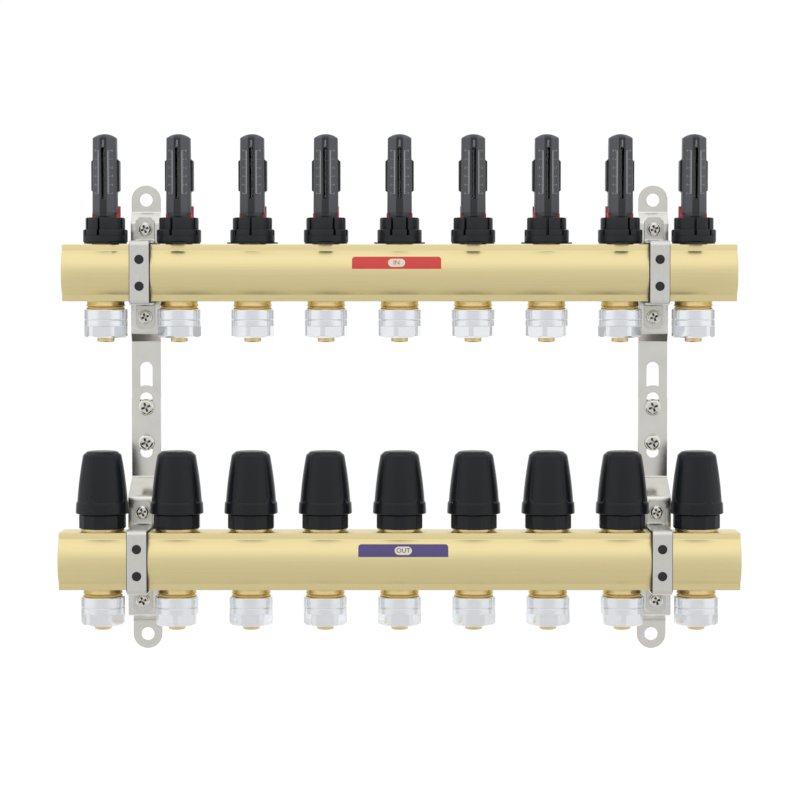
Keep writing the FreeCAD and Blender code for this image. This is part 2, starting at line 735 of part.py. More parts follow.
write("valve_inserts", on_return(valve_insert()))
write("knob_collars", on_return(knob_collar()))
spindles = on_return(valve_spindle())
knobs = on_return([knob(turn) for turn in knob_turns])

for number in range(outlet_count):
    suffix = "_" + str(number + 1)
    write("flow_dial" + suffix, dials[number])
    write("flow_float" + suffix, floats[number])
    write("valve_spindle" + suffix, spindles[number])
    write("return_knob" + suffix, knobs[number])

write("upper_bracket_plates", at_brackets(upper_plate()))
write("lower_bracket_plates", at_brackets(lower_plate()))
write("supply_straps", at_brackets(strap(), supply_bar_y, supply_bar_z))
write("return_straps", at_brackets(strap(), return_bar_y, return_bar_z))
write("supply_strap_liners", at_brackets(strap_liner(), supply_bar_y, supply_bar_z))
write("return_strap_liners", at_brackets(strap_liner(), return_bar_y, return_bar_z))
write("supply_strap_screws", strap_screws(supply_bar_y, supply_bar_z))
write("return_strap_screws", strap_screws(return_bar_y, return_bar_z))
write("bracket_bolts", bracket_bolts())
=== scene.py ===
import math

import bmesh
import bpy
from mathutils import Matrix, Vector


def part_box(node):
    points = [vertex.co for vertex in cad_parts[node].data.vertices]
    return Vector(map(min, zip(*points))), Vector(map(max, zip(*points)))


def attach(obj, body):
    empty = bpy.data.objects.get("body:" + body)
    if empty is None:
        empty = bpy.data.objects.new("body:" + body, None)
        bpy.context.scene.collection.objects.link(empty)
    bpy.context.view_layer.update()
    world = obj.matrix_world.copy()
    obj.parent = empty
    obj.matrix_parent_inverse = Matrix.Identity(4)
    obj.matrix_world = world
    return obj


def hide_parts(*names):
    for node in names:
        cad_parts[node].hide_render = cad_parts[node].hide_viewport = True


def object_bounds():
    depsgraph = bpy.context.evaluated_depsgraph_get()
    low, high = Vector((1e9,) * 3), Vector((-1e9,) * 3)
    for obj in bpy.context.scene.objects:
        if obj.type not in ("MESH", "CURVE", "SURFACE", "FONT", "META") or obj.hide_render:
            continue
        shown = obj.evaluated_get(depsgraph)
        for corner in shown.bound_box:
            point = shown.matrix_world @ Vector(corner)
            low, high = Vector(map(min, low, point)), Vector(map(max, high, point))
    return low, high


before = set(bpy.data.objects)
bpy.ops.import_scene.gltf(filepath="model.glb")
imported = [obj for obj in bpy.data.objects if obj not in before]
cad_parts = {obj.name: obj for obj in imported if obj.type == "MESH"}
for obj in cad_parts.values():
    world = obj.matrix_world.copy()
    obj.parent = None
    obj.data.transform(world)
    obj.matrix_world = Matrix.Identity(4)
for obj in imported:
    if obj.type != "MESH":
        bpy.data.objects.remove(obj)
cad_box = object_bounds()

# Studio
# A pale floor under the manifold and a white surround that lights it, brightest overhead.
# The camera stands straight in front and looks slightly down.

MM = 0.001
camera_place = (0.3, -1800, 91)
camera_tilt = 2.508
lens_length = 116.86
floor_radius = 1.3
floor_drop = 140 * MM

camera_data = bpy.data.cameras.new("studio_camera")
camera_data.lens = lens_length
camera_data.sensor_width = 36.0
camera = bpy.data.objects.new("studio_camera", camera_data)
camera.location = Vector(camera_place) * MM
camera.rotation_euler = (math.radians(90 - camera_tilt), 0, 0)
bpy.context.scene.collection.objects.link(camera)
bpy.context.scene.camera = camera
bpy.context.scene.view_settings.view_transform = "Standard"

world = bpy.data.worlds.new("white_studio")
world.use_nodes = True
bpy.context.scene.world = world
sky = world.node_tree
sky_shader = sky.nodes["Background"]
sky_place = sky.nodes.new("ShaderNodeTexCoord")
sky_axes = sky.nodes.new("ShaderNodeSeparateXYZ")
sky.links.new(sky_place.outputs["Generated"], sky_axes.inputs[0])


def sky_ramp(axis, stops):
    """A level that changes along one axis of the view direction, from (share, level) stops."""
    spread = sky.nodes.new("ShaderNodeMapRange")
    spread.inputs["From Min"].default_value = -1.0
    sky.links.new(sky_axes.outputs[axis], spread.inputs["Value"])
    ramp = sky.nodes.new("ShaderNodeValToRGB")
    ramp.color_ramp.elements[0].position = stops[0][0]
    ramp.color_ramp.elements[1].position = stops[-1][0]
    for position, _ in stops[1:-1]:
        ramp.color_ramp.elements.new(position)
    for element, (_, level) in zip(ramp.color_ramp.elements, stops):
        element.color = (level, level, level, 1.0)
    sky.links.new(spread.outputs["Result"], ramp.inputs["Fac"])
    return ramp.outputs["Color"]


def sky_blend(share, front, back):
    """A mix of two levels of the surround by a third."""
    mix = sky.nodes.new("ShaderNodeMix")
    mix.data_type = "RGBA"
    sky.links.new(share, mix.inputs["Factor"])
    sky.links.new(front, mix.inputs["A"])
    sky.links.new(back, mix.inputs["B"])
    return mix.outputs["Result"]


front_level = sky_ramp("Z", [(0.0, 0.56), (0.35, 0.64), (0.5, 0.66), (0.64, 0.72),
                             (0.78, 0.98), (0.90, 1.0), (1.0, 0.93)])
side_level = sky_ramp("Z", [(0.0, 0.50), (0.5, 0.46), (0.8, 0.60), (1.0, 0.86)])
back_level = sky_ramp("Z", [(0.0, 0.92), (1.0, 0.92)])
wing_level = sky_ramp("Z", [(0.0, 0.70), (0.5, 0.84), (1.0, 0.94)])
wing_share = sky_ramp("X", [(0.12, 1.0), (0.30, 0.0), (0.70, 0.0), (0.88, 1.0)])
side_share = sky_ramp("Y", [(0.55, 0.0), (0.72, 1.0)])
back_share = sky_ramp("Y", [(0.88, 0.0), (0.965, 1.0)])
surround = sky_blend(wing_share, front_level, wing_level)
surround = sky_blend(side_share, surround, side_level)
surround = sky_blend(back_share, surround, back_level)
sky.links.new(surround, sky_shader.inputs["Color"])
sky_shader.inputs["Strength"].default_value = 1.1

floor_material = bpy.data.materials.new("pale_floor")
floor_material.use_nodes = True
floor_tree = floor_material.node_tree
floor_shader = floor_tree.nodes["Principled BSDF"]
floor_shader.inputs["Roughness"].default_value = 0.7
floor_shader.inputs["Specular IOR Level"].default_value = 0.2
floor_shader.inputs["Emission Color"].default_value = (1.0, 1.0, 1.0, 1.0)
floor_place = floor_tree.nodes.new("ShaderNodeTexCoord")
floor_axes = floor_tree.nodes.new("ShaderNodeSeparateXYZ")
floor_tree.links.new(floor_place.outputs["Object"], floor_axes.inputs[0])
for socket, front_value, back_value in (("Base Color", 0.74, 0.96),
                                        ("Emission Strength", 0.0, 0.22)):
    floor_spread = floor_tree.nodes.new("ShaderNodeMapRange")
    floor_spread.inputs["From Min"].default_value = -0.05
    floor_spread.inputs["From Max"].default_value = 0.15
    floor_spread.inputs["To Min"].default_value = front_value
    floor_spread.inputs["To Max"].default_value = back_value
    floor_tree.links.new(floor_axes.outputs["Y"], floor_spread.inputs["Value"])
    floor_tree.links.new(floor_spread.outputs["Result"], floor_shader.inputs[socket])

floor_shape = bmesh.new()
bmesh.ops.create_circle(floor_shape, cap_ends=True, segments=96, radius=floor_radius)
bmesh.ops.translate(floor_shape, vec=(0, 0, cad_box[0].z - floor_drop), verts=floor_shape.verts)
floor_mesh = bpy.data.meshes.new("floor")
floor_shape.to_mesh(floor_mesh)
floor_shape.free()
floor = bpy.data.objects.new("floor", floor_mesh)
floor_mesh.materials.append(floor_material)
bpy.context.scene.collection.objects.link(floor)

# Supply and return bars
# Extruded brass bar, round with a flat pad above and below, bored through and brushed
# lengthwise. Both ends are cut with a G 1 female thread, each port has a turned seat
# above and a G 3/4 male stub below.

supply_low, supply_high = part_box("supply_bar")
return_low, return_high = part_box("return_bar")
stub_reach = 35.0 * MM
supply_axis = Vector((0, (supply_low.y + supply_high.y) / 2, supply_low.z + stub_reach))
return_axis = Vector((0, (return_low.y + return_high.y) / 2, return_low.z + stub_reach))
port_count = 9
first_port = sum(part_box("flow_dial_1"), Vector()).x / 2
port_places = [first_port * (1 - i / ((port_count - 1) / 2)) for i in range(port_count)]
bar_length = supply_high.x - supply_low.x
bar_radius = 20.5 * MM
bar_flat = 19.2 * MM
bar_shoulder = 14.8 * MM
bar_pad = 13.9 * MM
bar_bore = 14.5 * MM
port_way = 6.4 * MM
corner_radius = 0.4 * MM
end_radius = 0.5 * MM
mouth_crest = 15.15 * MM
mouth_root = 16.5 * MM
mouth_pitch = 2.3 * MM
mouth_depth = 14 * MM
stub_crest = 13.2 * MM
stub_root = 12.1 * MM
stub_pitch = 1.8 * MM
stub_body = 12.7 * MM
stub_way = 7.9 * MM
sunk = 0.3 * MM
seat_height = 0.6 * MM


def principled(name, color, metallic, roughness, **sockets):
    """A material with the uniform parts of its finish set on the shader itself."""
    material = bpy.data.materials.new(name)
    material.use_nodes = True
    shader = material.node_tree.nodes["Principled BSDF"]
    shader.inputs["Base Color"].default_value = (*color, 1.0)
    shader.inputs["Metallic"].default_value = metallic
    shader.inputs["Roughness"].default_value = roughness
    for socket, value in sockets.items():
        shader.inputs[socket.replace("_", " ")].default_value = value
    return material


def grain(material, scale, stretch, roughness, depth, tint=None, detail=4.0):
    """Noise over a finish: it varies the roughness, the bump and, if asked, the tint."""
    tree = material.node_tree
    shader = tree.nodes["Principled BSDF"]
    place = tree.nodes.new("ShaderNodeTexCoord")
    mapping = tree.nodes.new("ShaderNodeMapping")
    mapping.inputs["Scale"].default_value = stretch
    noise = tree.nodes.new("ShaderNodeTexNoise")
    noise.inputs["Scale"].default_value = scale
    noise.inputs["Detail"].default_value = detail
    tree.links.new(place.outputs["Object"], mapping.inputs["Vector"])
    tree.links.new(mapping.outputs["Vector"], noise.inputs["Vector"])
    spread = tree.nodes.new("ShaderNodeMapRange")
    spread.inputs["To Min"].default_value = roughness[0]
    spread.inputs["To Max"].default_value = roughness[1]
    tree.links.new(noise.outputs["Fac"], spread.inputs["Value"])
    tree.links.new(spread.outputs["Result"], shader.inputs["Roughness"])
    bump = tree.nodes.new("ShaderNodeBump")
    bump.inputs["Strength"].default_value = 1.0
    bump.inputs["Distance"].default_value = depth
    tree.links.new(noise.outputs["Fac"], bump.inputs["Height"])
    tree.links.new(bump.outputs["Normal"], shader.inputs["Normal"])
    if tint:
        ramp = tree.nodes.new("ShaderNodeValToRGB")
        ramp.color_ramp.elements[0].position = 0.3
        ramp.color_ramp.elements[1].position = 0.7
        ramp.color_ramp.elements[0].color = (*tint[0], 1.0)
        ramp.color_ramp.elements[1].color = (*tint[1], 1.0)
        tree.links.new(noise.outputs["Fac"], ramp.inputs["Fac"])
        tree.links.new(ramp.outputs["Color"], shader.inputs["Base Color"])
    return material


def brushed(material, amount):
    """Stretch the reflections of a finish around the X axis, as lengthwise brushing does."""
    tree = material.node_tree
    shader = tree.nodes["Principled BSDF"]
    shader.inputs["Anisotropic"].default_value = amount
    tangent = tree.nodes.new("ShaderNodeTangent")
    tangent.direction_type = "RADIAL"
    tangent.axis = "X"
    tree.links.new(tangent.outputs["Tangent"], shader.inputs["Tangent"])
    return material


brushed_brass = grain(principled("brushed_brass", (0.86, 0.735, 0.39), 1.0, 0.30),
                      260.0, (0.03, 8.0, 8.0), (0.26, 0.36), 0.006 * MM,
                      ((0.84, 0.715, 0.37), (0.88, 0.76, 0.415)))
brushed(brushed_brass, 0.65)
turned_brass = grain(principled("turned_brass", (0.80, 0.65, 0.34), 1.0, 0.22),
                     400.0, (1.0, 1.0, 12.0), (0.22, 0.38), 0.006 * MM,
                     ((0.76, 0.60, 0.29), (0.83, 0.67, 0.37)))


def lathe(shape, outline, steps=96, place=(0, 0, 0), axis="Z", angle=2 * math.pi, start=0.0):
    """Spin a closed outline of (radius, height) points about an upright or level axis."""
    before = set(shape.verts)
    corners = [shape.verts.new((radius, 0, height)) for radius, height in outline]
    sides = [shape.edges.new(pair) for pair in zip(corners, corners[1:] + corners[:1])]
    whole = abs(angle - 2 * math.pi) < 1e-6
    if not whole:
        section = shape.faces.new(corners)
        end = bmesh.ops.duplicate(shape, geom=corners + sides + [section])["geom"]
        bmesh.ops.rotate(shape, cent=(0, 0, 0), matrix=Matrix.Rotation(angle, 3, "Z"),
                         verts=[item for item in end if isinstance(item, bmesh.types.BMVert)])
    bmesh.ops.spin(shape, geom=corners + sides, cent=(0, 0, 0), axis=(0, 0, 1),
                   angle=angle, steps=steps, use_merge=whole)
    made = [vert for vert in shape.verts if vert not in before]
    bmesh.ops.remove_doubles(shape, verts=made, dist=1e-7)
    on_axis = [edge for edge in shape.edges if edge.is_wire]
    bmesh.ops.delete(shape, geom=on_axis, context="EDGES")
    made = [vert for vert in shape.verts if vert not in before]
    bmesh.ops.rotate(shape, cent=(0, 0, 0), matrix=Matrix.Rotation(start, 3, "Z"), verts=made)
    if axis == "X":
        bmesh.ops.rotate(shape, cent=(0, 0, 0), matrix=Matrix.Rotation(math.pi / 2, 3, "Y"),
                         verts=made)
    if axis == "-Y":
        bmesh.ops.rotate(shape, cent=(0, 0, 0), matrix=Matrix.Rotation(math.pi / 2, 3, "X"),
                         verts=made)
    bmesh.ops.translate(shape, vec=place, verts=made)
    return made


def plane_off(shape, point, normal, verts=None):
    """Plane away what lies beyond a plane and close the cut."""
    verts = verts if verts is not None else list(shape.verts)
    edges = {edge for vert in verts for edge in vert.link_edges}
    faces = {face for vert in verts for face in vert.link_faces}
    cut = bmesh.ops.bisect_plane(shape, geom=verts + list(edges) + list(faces), plane_co=point,
                                 plane_no=normal, clear_outer=True, dist=1e-7)
    rim = [item for item in cut["geom_cut"] if isinstance(item, bmesh.types.BMEdge)]
    bmesh.ops.holes_fill(shape, edges=rim)


def piece(shape, name, body, material, nodes=(), place=None, bevel=0.0, crease=32):
    """Make a piece of a copy of a mesh: its place, edge radius, body, finish and CAD nodes."""
    mesh = bpy.data.meshes.new(name)
    shape.to_mesh(mesh)
    if place:
        mesh.transform(place)
    for polygon in mesh.polygons:
        polygon.use_smooth = True
    mesh.set_sharp_from_angle(angle=math.radians(crease))
    mesh.materials.append(material)
    item = bpy.data.objects.new(name, mesh)
    bpy.context.scene.collection.objects.link(item)
    if bevel:
        edge = item.modifiers.new("edge_radius", "BEVEL")
        edge.width = bevel
        edge.segments = 2
        edge.limit_method = "ANGLE"
        edge.angle_limit = math.radians(crease)
    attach(item, body)
    if nodes:
        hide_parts(*nodes)
    return item


def at_port(axis, number, turn=0.0):
    """The place of one port along a bar, turned about the port's own axis by degrees."""
    spot = axis + Vector((port_places[number], 0, 0))
    return Matrix.Translation(spot) @ Matrix.Rotation(math.radians(turn), 4, "Z")


def thread_profile(crest, root, start, pitch, turns):
    """Rings of a thread as (radius, height) points, crest first."""
    points = []
    step = math.copysign(pitch, turns)
    for i in range(abs(turns)):
        low = start + i * step
        points += [(crest, low), (crest, low + 0.2 * step), (root, low + 0.6 * step)]
    return points + [(crest, start + abs(turns) * step)]


def open_ports(shape):
    """Open a square way through the wall above and below the bore at every port."""
    cuts = [((place + side * port_way, 0, 0), (1, 0, 0))
            for place in port_places for side in (-1, 1)]
    cuts += [((0, side * port_way, 0), (0, 1, 0)) for side in (-1, 1)]
    for point, normal in cuts:
        whole = list(shape.verts) + list(shape.edges) + list(shape.faces)
        bmesh.ops.bisect_plane(shape, geom=whole, plane_co=point, plane_no=normal, dist=1e-7)
    for place in port_places:
        for up in (-1, 1):
            opened = set()
            for face in shape.faces:
                middle = face.calc_center_median()
                if (abs(middle.x - place) < port_way and abs(middle.y) < port_way
                        and middle.z * up > bar_bore / 2):
                    opened.add(face)
            rims = [edge for edge in {edge for face in opened for edge in face.edges}
                    if len(opened.intersection(edge.link_faces)) == 1]
            bmesh.ops.delete(shape, geom=list(opened), context="FACES")
            bmesh.ops.bridge_loops(shape, edges=rims)


def bar_shape():
    """The bar, round between its two flat pads, with its bore and two threaded mouths."""
    shape = bmesh.new()
    half = bar_length / 2
    shoulder_y = math.sqrt(bar_radius ** 2 - bar_shoulder ** 2)
    arcs = []
    for side in (-1, 1):
        start = shape.verts.new((-half, side * shoulder_y, -side * bar_shoulder))
        swept = bmesh.ops.spin(shape, geom=[start], cent=(0, 0, 0), axis=(1, 0, 0),
                               angle=2 * math.asin(bar_shoulder / bar_radius), steps=72)
        arcs.append((start, swept["geom_last"][0]))
    for i, up in ((0, -1), (1, 1)):
        pad = [shape.verts.new((-half, y * bar_pad, up * bar_flat)) for y in (up, -up)]
        path = [arcs[i][1]] + pad + [arcs[1 - i][0]]
        for pair in zip(path, path[1:]):
            shape.edges.new(pair)
    section = bmesh.ops.edgeloop_fill(shape, edges=shape.edges)["faces"]
    drawn = bmesh.ops.extrude_face_region(shape, geom=section)["geom"]
    ends = [item for item in drawn if isinstance(item, bmesh.types.BMVert)]
    bmesh.ops.translate(shape, vec=(bar_length, 0, 0), verts=ends)
    corners = [edge for edge in shape.edges if edge.calc_length() > half
               and abs(edge.verts[0].co.z) > bar_shoulder - 0.01 * MM]
    bmesh.ops.bevel(shape, geom=corners, offset=corner_radius, segments=3, affect="EDGES",
                    profile=0.5)
    caps = [face for face in shape.faces if abs(face.normal.x) > 0.9]
    bmesh.ops.delete(shape, geom=caps, context="FACES_ONLY")
    outer_rims = [edge for edge in shape.edges if edge.is_boundary]
    mouth = thread_profile(mouth_crest, mouth_root, -half + 1.3 * MM, mouth_pitch, 5)
    bore = [(mouth_root - 0.1 * MM, -half)] + mouth + [(bar_bore, -half + mouth_depth)]
    bore += [(radius, -height) for radius, height in reversed(bore)]
    corners = [shape.verts.new((radius, 0, height)) for radius, height in bore]
    sides = [shape.edges.new(pair) for pair in zip(corners, corners[1:])]
    known = set(shape.verts) - set(corners)
    bmesh.ops.spin(shape, geom=corners + sides, cent=(0, 0, 0), axis=(0, 0, 1),
                   angle=2 * math.pi, steps=96, use_merge=True)
    made = [vert for vert in shape.verts if vert not in known]
    bmesh.ops.rotate(shape, cent=(0, 0, 0), matrix=Matrix.Rotation(math.pi / 2, 3, "Y"), verts=made)
    rims = [edge for edge in shape.edges if edge.is_boundary]
    for side in (-1, 1):
        pair = [edge for edge in rims if edge.verts[0].co.x * side > 0]
        bmesh.ops.bridge_loops(shape, edges=pair)
    rim = [edge for edge in outer_rims if edge.is_valid]
    bmesh.ops.bevel(shape, geom=rim, offset=end_radius, segments=2, affect="EDGES",
                    profile=0.5)
    open_ports(shape)
    bmesh.ops.recalc_face_normals(shape, faces=shape.faces)
    return shape


def port_shape(seat_radius, hole_radius):
    """One port: the turned seat above the bar and the threaded stub below it."""
    shape = bmesh.new()
    thread = thread_profile(stub_crest, stub_root, -21.9 * MM, stub_pitch, -7)
    root = -bar_flat + sunk
    stub = [(stub_way, root), (stub_body, root), (stub_body, -21.0 * MM)] + thread
    stub += [(12.4 * MM, -stub_reach), (10.2 * MM, -stub_reach), (stub_way, -29 * MM)]
    lathe(shape, stub, 96)
    top = bar_flat + seat_height
    root = bar_flat - sunk
    lathe(shape, [(hole_radius, root), (seat_radius, root),
                  (seat_radius, top - 0.2 * MM), (seat_radius - 0.2 * MM, top),
                  (hole_radius, top)], 96)
    bmesh.ops.recalc_face_normals(shape, faces=shape.faces)
    return shape


bar_mesh = bar_shape()
for name, body, axis in (("supply_bar", "supply_side", supply_axis),
                         ("return_bar", "return_side", return_axis)):
    piece(bar_mesh, name + "_brushed", body, brushed_brass, [name],
          Matrix.Translation(axis), crease=25)
supply_port = port_shape(9.2 * MM, 8.0 * MM)
return_port = port_shape(13.0 * MM, 9.0 * MM)
for i in range(port_count):
    number = "_" + str(i + 1)
    piece(supply_port, "supply_port" + number, "supply_side", turned_brass,
          ["supply_bar"], at_port(supply_axis, i))
    piece(return_port, "return_port" + number, "return_side", turned_brass,
          ["return_bar"], at_port(return_axis, i))

# Union nuts and pipe inserts
# Nickel-plated brass nuts, turned round above and milled hexagonal below, run on the
# stubs and clamp the brass insert that each pipe is pushed over.

nut_radius = 14.75 * MM
nut_flat = 13.5 * MM
nut_split = -36.0 * MM
nut_foot = -43.9 * MM
nut_bore = 13.25 * MM
nut_web = -37 * MM
nut_mouth = 8.2 * MM
tail_bore = 4.4 * MM
tail_radius = 5.8 * MM
supply_nut_turns = (-8, 8, 20, 22, 20, 23, 22, -9, 8)
return_nut_turns = (-7, 30, 0, 0, 2, 4, 0, 30, 5)

plated_nut = grain(principled("nickel_plate", (0.90, 0.92, 0.945), 1.0, 0.15),
                   420.0, (0.6, 0.6, 14.0), (0.11, 0.24), 0.008 * MM,
                   ((0.86, 0.885, 0.915), (0.925, 0.94, 0.96)))


def union_nut_shape():
    """A nut: a grooved round upper body over a chamfered hexagon."""
    shape = bmesh.new()
    lathe(shape, [(nut_bore, -24.6 * MM), (14.2 * MM, -24.6 * MM), (nut_radius, -25.1 * MM),
                  (nut_radius, -31.4 * MM), (14.3 * MM, -31.6 * MM), (14.3 * MM, -31.95 * MM),
                  (nut_radius, -32.15 * MM), (nut_radius, nut_split), (nut_bore, nut_split)])
    lathe(shape, [(nut_mouth, nut_web), (nut_mouth, -43.6 * MM), (8.5 * MM, nut_foot),
                  (13.0 * MM, nut_foot), (nut_radius, nut_foot + 1.2 * MM),
                  (nut_radius, nut_split - 0.02 * MM), (nut_bore, nut_split - 0.02 * MM),
                  (nut_bore, nut_web)], 192)
    for i in range(6):
        angle = math.radians(60 * i)
        normal = Vector((math.sin(angle), -math.cos(angle), 0))
        below = [vert for vert in shape.verts if vert.co.z < nut_split - 0.01 * MM]
        plane_off(shape, normal * nut_flat, normal, below)
    bmesh.ops.recalc_face_normals(shape, faces=shape.faces)
    return shape


def pipe_insert_shape():
    """The tail below each nut, with its shoulder and cone inside."""
    shape = bmesh.new()
    lathe(shape, [(tail_bore, -46.9 * MM), (5.3 * MM, -46.9 * MM), (tail_radius, -46.3 * MM),
                  (tail_radius, -36.9 * MM), (12.6 * MM, -36.9 * MM), (12.6 * MM, -35.05 * MM),
                  (9.9 * MM, -35.05 * MM), (7.6 * MM, -30 * MM), (tail_bore, -30 * MM)], 64)
    bmesh.ops.recalc_face_normals(shape, faces=shape.faces)
    return shape


nut_mesh = union_nut_shape()
insert_mesh = pipe_insert_shape()
for side, axis, turns in (("supply", supply_axis, supply_nut_turns),
                          ("return", return_axis, return_nut_turns)):
    for i in range(port_count):
        number = "_" + str(i + 1)
        piece(nut_mesh, side + "_nut" + number, side + "_side", plated_nut,
              [side + "_union_nuts"], at_port(axis, i, turns[i]), 0.25 * MM, 25)
        piece(insert_mesh, side + "_insert" + number, side + "_side", turned_brass,
              [side + "_pipe_inserts"], at_port(axis, i))

# Flow meters
# Glass-filled black nylon: a two-step setting dial slit into six fingers, and an upright
# housing with a slot over the clear tube. The scale is printed on two facets, and a red
# clip behind holds the dial.

dial_turns = (24, 20, 36, -13, 60, 13, -38, -16, -39)
housing_turns = (-4, -4, -3, -2, 0, 2, 3, 4, 4)
dial_foot = 20.9 * MM
dial_step = 29.5 * MM
dial_top = 37.6 * MM
dial_slit_bottom = 25.4 * MM
dial_slit = 1.5 * MM

dial_nylon = grain(principled("dial_nylon", (0.011, 0.0135, 0.0165), 0.0, 0.38,
                              Specular_IOR_Level=0.34),
                   260.0, (1.0, 1.0, 1.0), (0.34, 0.44), 0.002 * MM)
housing_nylon = grain(principled("housing_nylon", (0.072, 0.077, 0.087), 0.0, 0.38,
                                 Specular_IOR_Level=0.5),
                      260.0, (1.0, 1.0, 1.0), (0.34, 0.46), 0.002 * MM)
# Painted reflection: the housing's colour goes from near black on faces with little sideways lean,
# such as the front facets, to a lighter grey on faces turned to the side, by the object-space
# normal.
housing_tree = housing_nylon.node_tree
housing_facing = housing_tree.nodes.new("ShaderNodeTexCoord")
housing_axes = housing_tree.nodes.new("ShaderNodeSeparateXYZ")
housing_turned = housing_tree.nodes.new("ShaderNodeMath")
housing_turned.operation = "ABSOLUTE"
housing_painted_reflection_ramp = housing_tree.nodes.new("ShaderNodeValToRGB")
housing_painted_reflection_ramp.color_ramp.elements[0].position = 0.12
housing_painted_reflection_ramp.color_ramp.elements[1].position = 0.50
housing_painted_reflection_ramp.color_ramp.elements[0].color = (0.014, 0.016, 0.020, 1.0)
housing_painted_reflection_ramp.color_ramp.elements[1].color = (0.080, 0.086, 0.097, 1.0)
housing_tree.links.new(housing_facing.outputs["Normal"], housing_axes.inputs[0])
housing_tree.links.new(housing_axes.outputs["X"], housing_turned.inputs[0])
housing_tree.links.new(housing_turned.outputs["Value"], housing_painted_reflection_ramp.inputs["Fac"])
housing_tree.links.new(housing_painted_reflection_ramp.outputs["Color"],
                       housing_tree.nodes["Principled BSDF"].inputs["Base Color"])
knob_nylon = grain(principled("knob_nylon", (0.0065, 0.0090, 0.0125), 0.0, 0.30,
                              Specular_IOR_Level=0.30),
                   220.0, (1.0, 1.0, 1.0), (0.26, 0.36), 0.0015 * MM)
red_nylon = grain(principled("red_nylon", (0.60, 0.02, 0.03), 0.0, 0.3),
                  300.0, (1.0, 1.0, 1.0), (0.25, 0.4), 0.002 * MM)
clear_tube = grain(principled("clear_tube", (0.90, 0.93, 0.95), 0.0, 0.05,
                              Transmission_Weight=1.0, IOR=1.49),
                   40.0, (1.0, 1.0, 1.0), (0.04, 0.08), 0.001 * MM)
scale_ink = grain(principled("scale_ink", (0.44, 0.45, 0.47), 0.0, 0.5),
                  800.0, (1.0, 1.0, 1.0), (0.4, 0.6), 0.001 * MM)


def flow_dial_shape():
    """The setting dial: a base ring carrying three wide and three narrow fingers."""
    shape = bmesh.new()
    lathe(shape, [(6.05 * MM, dial_foot), (14.8 * MM, dial_foot), (15.1 * MM, dial_foot + 0.3 * MM),
                  (15.1 * MM, dial_slit_bottom), (6.05 * MM, dial_slit_bottom)])
    low = dial_slit_bottom - 0.02 * MM
    finger = [(10.2 * MM, low), (15.1 * MM, low), (15.1 * MM, dial_step - 0.9 * MM),
              (14.85 * MM, dial_step - 0.3 * MM), (14.2 * MM, dial_step),
              (13.4 * MM, dial_step), (13.4 * MM, dial_top - 0.9 * MM),
              (13.1 * MM, dial_top - 0.3 * MM), (12.4 * MM, dial_top), (10.2 * MM, dial_top)]
    gap = dial_slit / (13.0 * MM)
    for third in range(3):
        for centre, width in ((0, 75), (60, 45)):
            span = math.radians(width) - gap
            start = math.radians(120 * third + centre - 90) - span / 2
            lathe(shape, finger, width // 3, (0, 0, 0), "Z", span, start)
    bmesh.ops.recalc_face_normals(shape, faces=shape.faces)
    return shape


housing_plan = [(2.45, -8.2), (7.4, -4.6), (8.4, -2.6), (8.4, 3.0), (5.2, 7.0)]
housing_plan += [(-x, y) for x, y in reversed(housing_plan)]
housing_foot = 40.6
housing_side_top = 91.3
housing_top = 94.2
housing_taper = 0.95
lip_foot = 38.0
lip_half = 5.8
slot_half = 1.2
slot_foot = 50.5
slot_top = 84.2
tube_bore = 4.65
tube_foot = 34.1
tube_head = 89.2


def housing_scale(height):
    """How much the plan has shrunk at a height in millimetres."""
    share = (height - housing_foot) / (housing_top + 1 - housing_foot)
    return 1 + (housing_taper - 1) * share


